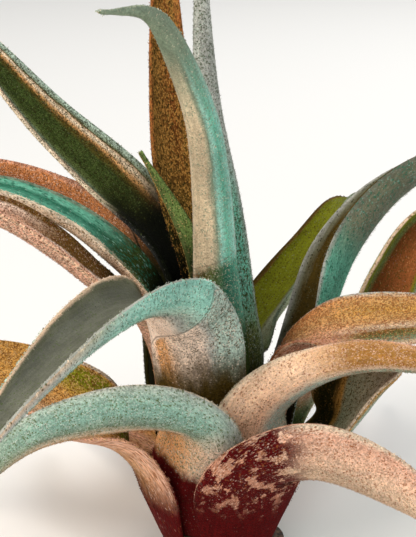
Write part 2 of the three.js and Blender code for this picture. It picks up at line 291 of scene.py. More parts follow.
def makeSkinGroup():
    tree = bpy.data.node_groups.new("leafSkin", "ShaderNodeTree")
    for kind, (taken, made) in skinKinds.items():
        for names, way in ((taken, "INPUT"), (made, "OUTPUT")):
            for name in names:
                tree.interface.new_socket(name, in_out=way, socket_type="NodeSocket" + kind)
    given = tree.nodes.new("NodeGroupInput").outputs
    across, along, spare = attribute(tree, "leafPlace")
    middle = skinRule["middle"]
    cloud = noiseOf(tree, "cloud")
    ridge = noiseOf(tree, "ridge")
    blotch = noiseOf(tree, "blotch", size=given["Blotch size"])
    crowd = noiseOf(tree, "crowd", stretch=given["Stretch"])
    speck = cellsOf(tree, "speck", stretch=given["Stretch"])
    grain = cellsOf(tree, "grain", stretch=given["Stretch"])

    # foot and tip, with edges that the cloud breaks up; a dark line may mark the top of the foot, and on the
    # arch leaf it is painted shadow under the blade's folded rim
    wave = times(tree, minus(tree, cloud, 0.5), skinRule["edgeWander"])
    reach = plus(tree, along, wave)
    slanted = plus(tree, along, times(tree, across, given["Foot slant"]))
    footReach = plus(tree, slanted, times(tree, wave, inverse(tree, given["Line"])))
    footPart = inverse(tree, fade(tree, footReach, given["Foot from"], given["Foot to"]))
    basePart = inverse(tree, fade(tree, reach, given["Base from"], given["Base to"]))
    tipPart = fade(tree, reach, given["Tip from"], given["Tip to"])
    colour = mixColours(tree, footPart, given["Bands"], given["Foot"])
    colour = mixColours(tree, tipPart, colour, given["Tip"])

    # blotches up to their reach, then the base over all, where a dark base is painted shade low in the
    # rosette; both are nearly free of dots
    low = times(tree, given["Blotch amount"], skinRule["blotchSpread"])
    low = minus(tree, skinRule["blotchStart"], low)
    blotchPart = fade(tree, blotch, low, plus(tree, low, skinRule["blotchEdge"]))
    blotchPart = times(tree, blotchPart, fade(tree, given["Blotch amount"], *skinRule["leastBlotch"]))
    last = plus(tree, given["Blotch reach"], skinRule["blotchFade"])
    blotchPart = times(tree, blotchPart, fade(tree, reach, given["Blotch reach"], last, 1.0, 0.0))
    colour = mixColours(tree, blotchPart, colour, given["Blotch"])
    colour = mixColours(tree, basePart, colour, given["Base"])
    dotted = times(tree, inverse(tree, times(tree, blotchPart, skinRule["bareBlotch"])),
                   inverse(tree, times(tree, basePart, skinRule["bareBase"])))

    # streaks, clouds and fine grains of light and dark; the foot is never blurred
    sharp = plus(tree, given["Sharpness"], times(tree, footPart, inverse(tree, given["Sharpness"])))
    tone = times(tree, fade(tree, ridge, *middle, *skinRule["ridgeTones"]),
                 fade(tree, cloud, *middle, *skinRule["cloudTones"]))
    swing = times(tree, fade(tree, grain[1], 0.0, 1.0, -1.0, 1.0), given["Contrast"])
    tone = times(tree, tone, plus(tree, 1.0, times(tree, swing, sharp)))
    colour = shade(tree, colour, tone)
    for cells, name in ((speck, "Speck"), (grain, "Grain")):
        amount = times(tree, times(tree, given[name + " amount"], sharp), dotted)
        dots = scattered(tree, cells, crowd, amount, skinRule["strengths"][name])
        colour = mixColours(tree, dots, colour, given[name])
    # the line at the top of the foot, in bark brown: on the arch leaf, painted shadow under the blade's
    # folded rim
    fromLine = sums(tree, "ABSOLUTE", minus(tree, slanted, given["Foot to"]))
    line = fade(tree, fromLine, 0.0, skinRule["lineWidth"], skinRule["lineDepth"], 0.0)
    colour = mixColours(tree, times(tree, line, given["Line"]), colour, colourOf("bark"))

    relief = sums(tree, "MULTIPLY_ADD", grain[2], skinRule["grainRelief"], speck[2])
    out = tree.nodes.new("NodeGroupOutput").inputs
    wire(tree, colour, out["Colour"])
    wire(tree, times(tree, minus(tree, ridge, relief), sharp), out["Height"])
    wire(tree, fade(tree, grain[1], 0.0, 1.0, *skinRule["roughness"]), out["Roughness"])
    # Light is 1 outside the base and 0 in it, the base being taken as painted shade
    wire(tree, inverse(tree, basePart), out["Light"])
    return tree


bandGroup = makeBandGroup()
skinGroup = makeSkinGroup()


def placeGroup(tree, group):
    made = tree.nodes.new("ShaderNodeGroup")
    made.node_tree = group
    return made


def emptyMaterial(name):
    material = bpy.data.materials.new(name)
    material.use_nodes = True
    tree = material.node_tree
    return material, tree, tree.nodes["Principled BSDF"]


velvet = {"Specular IOR Level": 0.03, "Sheen Weight": 0.01, "Sheen Roughness": 0.5,
          "Sheen Tint": colourOf("paleHair")}
skinBump = {"strength": 0.9, "relief": 0.1}   # relief in mm


def paintOn(tree, paint, across, socket):   # a paint's name, or bands across the leaf
    if isinstance(paint, str):
        socket.default_value = colourOf(paint)
    else:
        wire(tree, rampOf(tree, across, paint), socket)


def skinMaterial(name, look, hairPaint, paleness):   # the skin of one face, and the scales that stand on it
    material, tree, shader = emptyMaterial(name)
    across = placeGroup(tree, bandGroup).outputs["Across"]
    skin = placeGroup(tree, skinGroup)
    paintOn(tree, look["bands"], across, skin.inputs["Bands"])
    numbers = {"Foot slant": look["slant"], "Line": look["line"], "Contrast": look["contrast"],
               "Stretch": look["long"], "Sharpness": 1 - look["soft"]}
    for part in ("Foot", "Base", "Tip"):
        paint, numbers[part + " from"], numbers[part + " to"] = look[part.lower()]
        paintOn(tree, paint, across, skin.inputs[part])
    for part in ("Speck", "Grain", "Blotch"):
        paint, numbers[part + " amount"], *others = look[part.lower()]
        skin.inputs[part].default_value = colourOf(paint)
    numbers["Blotch size"], numbers["Blotch reach"] = others
    setInputs(skin, numbers)

    # scales: paler towards the tip where the light falls, and each in its own tone
    reach, tone, spare = attribute(tree, "hairPlace")
    pale = times(tree, reach, times(tree, skin.outputs["Light"], paleness))
    colour = mixColours(tree, pale, skin.outputs["Colour"], colourOf(hairPaint))
    wire(tree, shade(tree, colour, tone), shader.inputs["Base Color"])
    wire(tree, skin.outputs["Roughness"], shader.inputs["Roughness"])
    addBump(tree, skin.outputs["Height"], shader, **skinBump)
    setInputs(shader, velvet)
    return material


# The leaf rule, as in the plant's own source

def ease(value):
    x = np.clip(value, 0, 1)
    return x * x * (3 - 2 * x)


def between(first, last, part):
    return first + (last - first) * part


def around(azimuth):
    angle = math.radians(azimuth)
    return np.array([math.cos(angle), math.sin(angle), 0.0])


def polar(reach, height, azimuth):
    return around(azimuth) * reach + np.array([0.0, 0.0, height])


def shellRings(shell):   # radius and height of each ring that a shell passes
    out = shell / sheathRule["shells"]
    return [(between(r0, r1, out), between(h0, h1, out)) for r0, r1, h0, h1 in sheathRule["rings"]]


def blend(t, start, end, first, last):
    return ((end - t) * first + (t - start) * last) / (end - start)


def smoothCurve(points):   # a centripetal Catmull-Rom curve, in equal steps, and its length
    points = np.array(points)
    points = np.vstack([2 * points[0] - points[1], points, 2 * points[-1] - points[-2]])
    parts = []
    for i in range(1, len(points) - 2):
        p0, p1, p2, p3 = points[i - 1:i + 3]
        t0 = 0.0
        t1 = t0 + np.linalg.norm(p1 - p0) ** 0.5
        t2 = t1 + np.linalg.norm(p2 - p1) ** 0.5
        t3 = t2 + np.linalg.norm(p3 - p2) ** 0.5
        t = np.linspace(t1, t2, leafGrid["finer"], endpoint=False)[:, None]
        a1 = blend(t, t0, t1, p0, p1)
        a2 = blend(t, t1, t2, p1, p2)
        a3 = blend(t, t2, t3, p2, p3)
        b1 = blend(t, t0, t2, a1, a2)
        b2 = blend(t, t1, t3, a2, a3)
        parts.append(blend(t, t1, t2, b1, b2))
    parts.append(points[-2][None])
    fine = np.vstack(parts)
    travelled = np.r_[0, np.cumsum(np.linalg.norm(np.diff(fine, axis=0), axis=1))]
    wanted = np.linspace(0, travelled[-1], len(stations))
    return np.stack([np.interp(wanted, travelled, fine[:, k]) for k in range(3)], -1), travelled[-1]


def leafForm(leaf):   # all that the rule needs along the midrib, at the stations
    rings = shellRings(leaf["shell"])
    sheathPoints = [polar(radius, height, leaf["azimuth"]) for radius, height in rings]
    sheathPoints = sheathPoints[:leaf.get("rungs", 3)]
    points, length = smoothCurve(sheathPoints + [polar(*point) for point in leaf["midrib"]])
    distance = stations * length

    tangent = unit(np.gradient(points, axis=0))
    face = np.zeros_like(tangent)
    carried = -around(leaf["azimuth"])
    for i, direction in enumerate(tangent):
        carried = carried - carried.dot(direction) * direction
        carried /= np.linalg.norm(carried)
        face[i] = carried
    usualLength = math.hypot(rings[2][0] - rings[0][0], rings[2][1] - rings[0][1])
    sheathLength = leaf.get("sheathLength", usualLength)
    start = sheathLength + leaf.get("turnStart", bladeRule["turnStart"])
    turned = ease((distance - start) / leaf.get("turnLength", bladeRule["turnLength"]))
    angle = np.radians(leaf.get("turn", 0)) * turned[:, None]
    face = face * np.cos(angle) + np.cross(tangent, face) * np.sin(angle)

    neck = leaf.get("neck", bladeRule["neck"])
    blade = ease((distance - bladeRule["neckStart"] * sheathLength) / neck)
    opening = np.clip(distance / (sheathRule["fullWidthAt"] * sheathLength), 0, 1)
    opened = between(sheathRule["footWidth"], 1, np.sin(0.5 * np.pi * opening))
    reach = np.clip((distance - sheathLength) / (length - sheathLength), 0, 1)
    taper = (1 - reach ** bladeRule["taperPower"]) ** bladeRule["tipPower"]
    halfSheath, halfBlade = leaf["halfWidths"]
    halfBlade = np.maximum(halfBlade * taper, bladeRule["tipHalfWidth"])
    halfWidth = between(halfSheath * opened, halfBlade, blade)
    climb = np.clip(distance / sheathLength, 0, 1)
    shellRadius = np.interp(climb, [0, 0.5, 1], [radius for radius, height in rings])
    settled = ease(stations / bladeRule["foldSettlesAt"])
    bladeFold = np.radians(between(*leaf.get("fold", bladeRule["fold"]), settled))
    fold = between(halfWidth / (shellRadius + sheathRule["spread"]), bladeFold, blade)
    return {"points": points, "tangent": tangent, "face": face, "blade": blade, "halfWidth": halfWidth,
            "fold": fold, "length": length}


def readForm(form, name, along):
    values = form[name]
    if values.ndim == 1:
        return np.interp(along, stations, values)
    return np.stack([np.interp(along, stations, values[:, k]) for k in range(3)], -1)


def skinAt(form, along, across):   # points of the leaf's middle surface, and what stands on them there
    tangent, face, halfWidth, fold, blade = [
        readForm(form, name, along) for name in ("tangent", "face", "halfWidth", "fold", "blade")]
    side = np.cross(tangent, face)
    curl = (across * fold)[:, None]
    curlRadius = (halfWidth / fold)[:, None]
    middle = readForm(form, "points", along) + side * (curlRadius * np.sin(curl))
    middle += face * (curlRadius * (1 - np.cos(curl)))
    outward = face * np.cos(curl) - side * np.sin(curl)
    edge = across ** 2
    sheathPart = sheathRule["thickness"] * (1 - sheathRule["edgeThinning"] * edge)
    bladePart = bladeRule["thickness"] * (1 - bladeRule["tipThinning"] * along)
    bladePart = bladePart * (1 - bladeRule["edgeThinning"] * edge)
    most = np.maximum(bladeRule["thinnest"], bladeRule["thicknessPerHalfWidth"] * halfWidth)
    thickness = np.minimum(between(sheathPart, bladePart, blade), most)
    return {"middle": middle, "outward": outward, "tangent": tangent, "thickness": thickness,
            "halfWidth": halfWidth}


# Modelling

def unit(vectors):
    return vectors / np.linalg.norm(vectors, axis=1)[:, None]


def deselectAll():
    bpy.ops.object.select_all(action="DESELECT")


def addPlaces(mesh, **places):   # what the skin reads at each point, three numbers a time
    for name, columns in places.items():
        made = mesh.attributes.new(name, "FLOAT_VECTOR", "POINT")
        made.data.foreach_set("vector", np.stack(columns, -1).astype(np.float32).ravel())


def applyModifier(piece, kind, **settings):
    bpy.ops.object.modifier_add(type=kind)
    modifier = piece.modifiers[-1]
    for name, value in settings.items():
        setattr(modifier, name, value)
    bpy.ops.object.modifier_apply(modifier=modifier.name)


def widenUnder(mesh, share):   # the under side's pattern is wider by the wall, and so runs on over the rims
    data = mesh.attributes["skinPlace"].data
    place = np.empty(3 * len(data))
    data.foreach_get("vector", place)
    place = place.reshape(-1, 3)
    place[len(share):, 0] *= 1 + share
    data.foreach_set("vector", place.ravel())


def makeLeaf(leaf, form, seed):
    # a flat grid, laid along the midrib, then given its thickness and rounded
    deselectAll()
    columns, rows = leafGrid["columns"], leafGrid["rows"]
    bpy.ops.mesh.primitive_grid_add(x_subdivisions=columns, y_subdivisions=rows, size=1)
    piece = bpy.context.object
    piece.name = "blade_" + leaf["name"]
    mesh = piece.data
    flat = np.empty(3 * len(mesh.vertices))
    mesh.vertices.foreach_get("co", flat)
    flat = flat.reshape(-1, 3)
    even = 2 * flat[:, 0]
    across = 0.5 * even + 0.5 * np.sin(0.5 * np.pi * even)   # closer together at the rims
    along = np.clip(flat[:, 1] + 0.5, 0, 1)
    skin = skinAt(form, along, across)
    mesh.vertices.foreach_set("co", (skin["middle"] * mm).ravel())
    nothing = np.zeros(len(along))
    seeds = nothing + seed
    addPlaces(mesh, leafPlace=(across, along, seeds),
              skinPlace=(across * skin["halfWidth"], along * form["length"], seeds),
              hairPlace=(nothing, nothing + 1, nothing))
    walls = piece.vertex_groups.new(name="walls")
    most = bladeRule["thickness"]
    for i, thickness in enumerate(skin["thickness"]):
        walls.add([i], float(thickness / most), "REPLACE")
    for part in ("upper", "under"):
        name = leaf["name"] + "_" + part
        mesh.materials.append(skinMaterial(name, leaf[part], leaf["hairs"][0], leaf["pale"]))
    applyModifier(piece, "SOLIDIFY", thickness=most * mm, offset=0.0, vertex_group="walls",
                  material_offset=1, material_offset_rim=0)
    widenUnder(piece.data, skin["thickness"] / np.maximum(skin["halfWidth"], leafGrid["narrowest"]))
    applyModifier(piece, "SUBSURF", levels=1, render_levels=1)
    bpy.ops.object.shade_smooth()
    piece.vertex_groups.clear()
    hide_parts("leaf_" + leaf["name"])
    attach(piece, "root")
    return piece


# Scale hairs: lengths in mm, the lift in degrees. A spread is how far chance moves a value.
scaleHair = {
    "seed": 100,
    "length": 0.26, "width": 0.12, "sink": 0.05, "sizeSpread": 0.22, "tones": (0.7, 1.2),
    "faceAlong": (0.1, 1), "faceAcross": 0.97, "lift": 30.0, "liftSpread": 10, "leanSpread": 0.4,
    "rimAlong": (0.12, 1), "rimAcross": (0.92, 1), "rimSpread": 0.55, "rimForward": (0.2, 1.1),
    "rimSize": (0.15, 0.25),   # of the size's logarithm: middle and spread
}


def standScales(roots, direction, across, sizes):   # one thin pointed scale, copied to every root
    half = across * (0.5 * scaleHair["width"] * sizes)[:, None]
    tips = roots + direction * (scaleHair["length"] * sizes)[:, None]
    return np.stack([roots - half, roots + half, tips], 1)


def faceScales(chance, form, perMm2):   # more where the leaf is wider, and none at the foot
    area = 2 * float(np.mean(form["halfWidth"])) * form["length"]
    tries = 3 * int(2 * area * perMm2)
    along = chance.uniform(*scaleHair["faceAlong"], tries)
    wide = chance.uniform(0, form["halfWidth"].max(), tries) < readForm(form, "halfWidth", along)
    along = along[wide][:tries // 3]
    count = len(along)
    across = chance.uniform(-scaleHair["faceAcross"], scaleHair["faceAcross"], count)
    skin = skinAt(form, along, across)
    sign = np.where(chance.uniform(size=count) < 0.5, 1.0, -1.0)
    outward = skin["outward"] * sign[:, None]
    lift = np.radians(scaleHair["lift"] + chance.normal(0, scaleHair["liftSpread"], count))[:, None]
    side = np.cross(skin["tangent"], outward)
    lean = chance.normal(0, scaleHair["leanSpread"], count)[:, None]
    direction = unit(skin["tangent"] * np.cos(lift) + outward * np.sin(lift) + side * lean)
    roots = skin["middle"] + outward * (0.5 * skin["thickness"] - scaleHair["sink"])[:, None]
    sizes = np.exp(chance.normal(0, scaleHair["sizeSpread"], count))
    scales = standScales(roots, direction, unit(np.cross(direction, outward)), sizes)
    return scales, across, along, sign > 0


def rimScales(chance, form, perMm):   # out from both rims and on towards the tip
    count = int(2 * form["length"] * perMm)
    along = chance.uniform(*scaleHair["rimAlong"], count)
    edge = np.where(chance.uniform(size=count) < 0.5, 1.0, -1.0)
    across = edge * chance.uniform(*scaleHair["rimAcross"], count)
    skin = skinAt(form, along, across)
    side = np.cross(skin["tangent"], skin["outward"]) * -edge[:, None]
    spread = chance.normal(0, scaleHair["rimSpread"], count)
    forward = chance.uniform(*scaleHair["rimForward"], count)[:, None]
    direction = unit(side + skin["tangent"] * forward + skin["outward"] * spread[:, None])
    shift = 0.5 * skin["thickness"] * np.clip(spread, -1, 1)
    roots = skin["middle"] + skin["outward"] * shift[:, None] - side * scaleHair["sink"]
    sizes = np.exp(chance.normal(*scaleHair["rimSize"], count))
    scales = standScales(roots, direction, unit(np.cross(direction, skin["tangent"])), sizes)
    return scales, across, along, spread > 0


def makeHairs(leaf, form, seed, blade):
    chance = np.random.default_rng(scaleHair["seed"] + seed)
    perMm2, perRimMm = leaf["hairs"][1:]
    parts = zip(faceScales(chance, form, perMm2), rimScales(chance, form, perRimMm))
    scales, across, along, upper = [np.concatenate(pair) for pair in parts]
    total = len(scales)
    mesh = bpy.data.meshes.new("hairs_" + leaf["name"])
    mesh.vertices.add(3 * total)
    mesh.vertices.foreach_set("co", (scales * mm).ravel())
    mesh.loops.add(3 * total)
    mesh.loops.foreach_set("vertex_index", np.arange(3 * total))
    mesh.polygons.add(total)
    mesh.polygons.foreach_set("loop_start", np.arange(0, 3 * total, 3))
    for material in blade.data.materials:
        mesh.materials.append(material)
    mesh.polygons.foreach_set("material_index", np.where(upper, 0, 1))
    mesh.update()
    across, along = np.repeat(across, 3), np.repeat(along, 3)
    tones = np.repeat(chance.uniform(*scaleHair["tones"], total), 3)
    seeds = np.full(3 * total, float(seed))
    addPlaces(mesh, leafPlace=(across, along, seeds),
              skinPlace=(across * readForm(form, "halfWidth", along), along * form["length"], seeds),
              hairPlace=(np.tile([0.0, 0.0, 1.0], total), tones, seeds))
    piece = bpy.data.objects.new(mesh.name, mesh)
    bpy.context.collection.objects.link(piece)
    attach(piece, "root")
    return total


# Leaves, from the heart of the rosette outwards. A face has a paint or bands across it from -1 to 1, then
# specks and grains: a paint and how much of it there is. A base, foot or tip is a paint or bands, and where
# along it fades, from 0 to 1; the base lies over all. Near-black and deep olive bases are painted shade low
# in the rosette. A blotch is a paint, how much, its size in mm and how far up the leaf it goes.
# Hairs are a paint, and how many there are to a mm2 of face and to a mm of rim; pale is how much of that
# paint their tips have. The half widths, in mm, are the sheath's and the blade's.

usualLook = {   # what a face has when it doesn't say
    "base": ("cream", -3, -2), "foot": ("cream", -3, -2), "tip": ("cream", 3, 4), "slant": 0, "line": 0,
    "blotch": ("cream", 0, 1, 2), "contrast": 0.25, "long": 1, "soft": 0,
}
leaves = []


def face(bands, speck, grain, **others):
    return {**usualLook, "bands": bands, "speck": speck, "grain": grain, **others}


def addLeaf(name, slot, pale=0.4, **shape):
    leaves.append({"name": name, "slot": slot, "pale": pale, **shape})


budFace = face("mossGreen", ("darkGreen", 0.3), ("greenHair", 0.2), base=("deepShade", 0.4, 0.95))
addLeaf("heart_spear", "skin_green", azimuth=120, shell=0, halfWidths=(3, 2.5), neck=10, fold=(34, 34),
    midrib=[(5.5, 46, 146), (10.5, 54, 146), (14.5, 60.5, 151)],
    upper=face({-1: "mossGreen", -0.6: "freshGreen", 0.8: "freshGreen", 1: "mossGreen"},
        ("darkGreen", 0.45), ("goldHair", 0.12), base=("deepShade", 0.45, 0.75)),
    under=face({-1: "gold", -0.8: "mossGreen", -0.5: "freshGreen", 0.8: "freshGreen", 1: "gold"},
        ("darkGreen", 0.4), ("goldHair", 0.25), base=("deepShade", 0.3, 0.62)),
    hairs=("greenHair", 6, 9))
addLeaf("heart_bud", "skin_green", azimuth=215, shell=0, halfWidths=(3, 2), neck=8, fold=(40, 40),
    midrib=[(4.2, 40, 215)],
    upper=budFace, under=budFace, hairs=("greenHair", 5, 7))
addLeaf("spire_right", "skin_teal", azimuth=340, shell=1, halfWidths=(4.6, 5.5), fold=(55, 75), turn=-20,
    midrib=[(4.5, 38, 333), (1.5, 54.5, 40), (3.5, 67.5, 114), (6.5, 80.5, 115), (12.5, 94.5, 106)],
    upper=face({-1: "mistGrey", 0: "greyGreen", 1: "mistGrey"}, ("deepTeal", 0.4), ("seaGrey", 0.2),
        base=("deepShade", 0.2, 0.42)),
    under=face({-0.5: "mistGrey", -0.28: "seaGrey", -0.05: "teal", 0.8: "teal", 1: "deepTeal"},
        ("darkGreen", 0.5), ("seaGrey", 0.2), base=("deepOlive", 0.12, 0.2),
        foot=({-0.2: "greyGreen", 0.1: "mossGreen", 1: "oliveBrown"}, 0.24, 0.31),
        tip=("mistGrey", 0.45, 0.62), blotch=("darkGreen", 0.5, 0.5, 0.42), contrast=0.3),
    hairs=("greyHair", 11, 18))
# spire_back: the upper face's dark foot bands and black base, and the under face's deep olive base, are
# painted shade low in the rosette's cup
addLeaf("spire_back", "skin_rust", azimuth=88, shell=1, halfWidths=(4.5, 6.4), neck=30, fold=(55, 65),
    midrib=[(7.3, 43, 106), (15.5, 56, 115), (20, 72.5, 115), (23, 87.5, 114), (30.5, 99.5, 112)],
    upper=face({-1: "rust", -0.85: "umber", 0.1: "rustBrown", 0.45: "umber", 1: "rust"}, ("deepOlive", 0.5),
        ("gold", 0.62), base=("deepShade", 0.27, 0.4),
        foot=({-1: "deepOlive", 0: "oliveBrown", 1: "rustBrown"}, 0.38, 0.58), contrast=0.5, long=1.5),
    under=face({-1: "rust", 0: "rustBrown", 1: "rust"}, ("deepOlive", 0.5), ("gold", 0.6),
        base=("deepOlive", 0.15, 0.4), contrast=0.4, long=1.8),
    hairs=("goldHair", 9, 15), pale=0.25)
addLeaf("spire_front", "skin_teal", azimuth=266, shell=2, halfWidths=(4.6, 5), fold=(80, 90),
    midrib=[(9, 44, 261), (10.5, 57, 259), (15.5, 68, 258), (21, 77.5, 253), (33.5, 86, 253),
        (50.5, 89, 252)],
    upper=face({-1: "seaGrey", 0: "mossGreen", 1: "cream"}, ("darkGreen", 0.25), ("seaGrey", 0.2),
        base=("deepShade", 0.25, 0.45)),
    under=face({-1: "seaGrey", -0.75: "paleTeal", -0.45: "teal", -0.25: "paleTeal", -0.12: "greyGreen",
        0.03: "oldLinen", 0.6: "oldLinen", 0.85: "beige", 1: "cream"}, ("greyGreen", 0.3), ("cream", 0.12),
        base=("darkGreen", 0.2, 0.3),
        foot=({-1: "teal", -0.35: "deepTeal", 0: "mossGreen", 0.5: "oliveBrown", 1: "sand"}, 0.325, 0.34),
        tip=("greyGreen", 0.56, 0.74), slant=0.018, line=0.4, soft=0.3),
    hairs=("paleHair", 7, 14))
# left_high: the dark green valley of the upper face, its deep olive and umber foot and black base, and the
# black near rim at the under face's foot are painted shade in the channel and the rosette's cup
addLeaf("left_high", "skin_sage", azimuth=150, shell=2, halfWidths=(5, 7.7), neck=28, fold=(60, 70),
    turn=-55, turnStart=8, turnLength=30,
    midrib=[(9.5, 41.5, 142), (24, 52.2, 134), (37.5, 61.6, 138.5), (47.5, 71.8, 143), (58, 83.2, 149),
        (64.5, 89.5, 151.5)],
    upper=face({-1: "cream", -0.94: "sand", -0.86: "greyGreen", -0.65: "mossGreen", -0.42: "darkGreen",
        0.18: "darkGreen", 0.42: "oliveBrown", 0.54: "tan", 0.66: "cream", 0.76: "sand", 0.81: "oliveBrown",
        0.86: "greyGreen", 0.95: "seaGrey"}, ("deepOlive", 0.5), ("mossGreen", 0.2),
        base=("deepShade", 0.36, 0.48), foot=({-1: "mossGreen", -0.3: "deepOlive", 0.3: "deepOlive",
        0.6: "umber", 1: "greyGreen"}, 0.33, 0.5), contrast=0.4),
    under=face({-1: "cream", -0.8: "sand", -0.6: "seaGrey", 0.7: "seaGrey", 1: "cream"}, ("mossGreen", 0.5),
        ("greyHair", 0.4), base=({-0.5: "deepShade", -0.1: "greyGreen"}, 0.36, 0.47)),
    hairs=("paleHair", 7, 20), pale=0.2)
addLeaf("right_olive", "skin_olive", azimuth=78, shell=3, halfWidths=(4.6, 9.4), neck=44, fold=(70, 80),
    turn=-10,
    midrib=[(17, 24.6, 80), (26, 26, 78.5), (32.5, 30.6, 72.5), (39.5, 37, 67), (48, 43, 65),
        (54, 42.8, 65), (60, 39, 65.3)],
    upper=face({-1: "oliveBrown", -0.92: "umber", -0.84: "olive", 0.2: "olive", 0.34: "greyOlive",
        0.45: "paleOlive", 0.9: "paleOlive", 1: "greyGreen"}, ("oliveBrown", 0.4), ("paleOlive", 0.06),
        foot=("mossGreen", 0.25, 0.5), soft=0.4),
    under=face({-1: "paleOlive", 0: "greyGreen", 1: "paleOlive"}, ("mossGreen", 0.4), ("greyHair", 0.3)),
    hairs=("greenHair", 5, 9))
# left_teal: the dark green foot of the upper face and its black base are painted shade near the rosette's
# heart
addLeaf("left_teal", "skin_teal", azimuth=182, shell=3, halfWidths=(5.1, 6), neck=32, turn=-15,
    midrib=[(11.5, 39.5, 184), (18.5, 47.5, 184), (26, 53, 184), (36, 56.5, 183), (46.5, 54, 182),
        (55.5, 48, 182)],
    upper=face({-1: "cream", -0.9: "sand", -0.72: "cream", -0.6: "greyOlive", -0.5: "teal", 0.1: "teal",
        0.5: "deepTeal", 0.7: "teal", 0.86: "teal", 0.93: "greyGreen"}, ("deepTeal", 0.45),
        ("paleTeal", 0.1), base=("deepShade", 0.33, 0.42), foot=("darkGreen", 0.42, 0.54), long=2.5,
        soft=0.3),
    under=face({-1: "cream", -0.75: "sand", -0.5: "umber", 1: "greyGreen"}, ("umber", 0.5),
        ("paleHair", 0.35), contrast=0.35),
    hairs=("paleHair", 7, 18))
# right_tan: the umber and moss green valley of the upper face is painted shade
addLeaf("right_tan", "skin_tan", azimuth=334, shell=4, halfWidths=(5.4, 8.4), neck=34, fold=(34, 44),
    turn=80, turnStart=1, turnLength=17,
    midrib=[(10, 31.2, 347), (16, 33.6, 356), (26.5, 35.2, 358), (38, 35.4, 355), (53, 28.7, 352)],
    upper=face({-1: "mistGrey", -0.97: "sand", -0.88: "tan", -0.5: "gold", -0.15: "tan", 0.05: "sand",
        0.2: "umber", 0.4: "mossGreen", 0.8: "greyGreen", 1: "sand"}, ("rust", 0.55), ("goldHair", 0.25),
        base=("rustBrown", 0.28, 0.4),
        foot=({-1: "mistGrey", -0.96: "clay", -0.5: "tan", 0.2: "rose"}, 0.4, 0.52), contrast=0.4),
    under=face({-1: "sand", -0.85: "rose", 0.85: "rose", 1: "sand"}, ("rustBrown", 0.45), ("pinkHair", 0.3),
        foot=("rust", 0.25, 0.4), contrast=0.3),
    hairs=("paleHair", 9, 24))
# left_pink: the umber and olive brown inner wall of the upper face, also in its foot and tip bands, is
# painted shade inside the channel
addLeaf("left_pink", "skin_pink", azimuth=195, shell=4, halfWidths=(3, 9.2), neck=60, fold=(70, 85),
    turn=-8,
    midrib=[(11, 31.7, 189.5), (14.4, 38.5, 191), (21, 43.8, 206.5), (28.5, 50.2, 208.5), (35, 54.7, 204.5),
        (42.5, 56.6, 199), (51, 53.3, 196), (58, 46.6, 194)],
    upper=face({0.1: "pink", 0.34: "petal", 0.44: "umber", 0.85: "umber", 1: "oliveBrown"},
        ("rustBrown", 0.5), ("sand", 0.2),
        foot=({0.1: "pink", 0.3: "petal", 0.38: "umber", 1: "oliveBrown"}, 0.34, 0.52),
        tip=({0.5: "pink", 0.74: "petal", 0.84: "umber"}, 0.56, 0.7), contrast=0.4),
    under=face({-1: "blush", -0.85: "pink", -0.3: "pink", 0.3: "apricot", 0.7: "rose", 1: "pink"},
        ("rustBrown", 0.72), ("cream", 0.5), contrast=0.5),
    hairs=("pinkHair", 12, 24))
# front_arch: the under face's olive brown base is painted shade at the foot of the sheath, and its dark line
# is painted shadow of the blade's rim folded over the sheath
addLeaf("front_arch", "skin_teal", azimuth=252, shell=5, halfWidths=(7.6, 9.5), sheathLength=24, neck=13,
    fold=(46, 85), turn=-3,
    midrib=[(13, 32, 249), (13.9, 36.6, 247), (16.6, 38.7, 247), (20.5, 42.1, 248), (31, 45.3, 248),
        (45, 45.9, 248), (60.5, 44.8, 248.5), (74.5, 42.2, 248.5), (87, 38, 248.5)],
    upper=face({-1: "mistGrey", -0.92: "greyOlive", -0.8: "ash", 0.7: "ash", 0.92: "greyOlive", 1: "sand"},
        ("mossGreen", 0.3), ("greyOlive", 0.12), foot=("umber", 0.3, 0.4), soft=0.6),
    under=face({-0.55: "paleTeal", -0.42: "iceTeal", -0.25: "seaGrey", -0.08: "mistGrey", 0.12: "petal"},
        ("oliveBrown", 0.36), ("petal", 0.22), base=("oliveBrown", 0.2, 0.275), foot=({-0.55: "seaGrey",
        -0.4: "mistGrey", -0.25: "petal", 0.2: "petal", 0.45: "apricot", 0.68: "apricot", 0.78: "petal",
        0.96: "petal", 1: "bark"}, 0.309, 0.313),
        tip=({-1: "sand", -0.75: "mistGrey", -0.5: "seaGrey", -0.3: "iceTeal"}, 0.52, 0.8), slant=0.06,
        line=0.75, contrast=0.35, soft=0.6),
    hairs=("greyHair", 9, 14))
# right_high: the olive brown to deep olive channel of the upper face and its deep olive base are painted
# shade inside the channel
addLeaf("right_high", "skin_teal", azimuth=37.5, shell=5, halfWidths=(7.4, 13.2), neck=40, fold=(80, 95),
    turn=-8,
    midrib=[(15.5, 21.5, 43.8), (22.9, 31, 44), (29.5, 40.5, 45), (39.1, 49.3, 42.5), (50.2, 53.5, 39.2),
        (61.5, 51, 36.5)],
    upper=face({-1: "mistGrey", -0.9: "greyOlive", -0.8: "oliveBrown", 0.6: "deepOlive", 1: "oliveBrown"},
        ("deepOlive", 0.3), ("greyOlive", 0.08), base=("deepOlive", 0.2, 0.4), soft=0.5),
    under=face({-1: "seaGrey", 0: "teal", 0.9: "teal", 0.97: "mistGrey"}, ("deepTeal", 0.4),
        ("paleTeal", 0.1), tip=({-1: "greyOlive", 0: "ash", 0.8: "greyOlive", 1: "ash"}, 0.48, 0.6),
        blotch=("deepTeal", 0.3, 1.2, 0.55), contrast=0.2, long=1.5, soft=0.2),
    hairs=("greyHair", 7, 14))
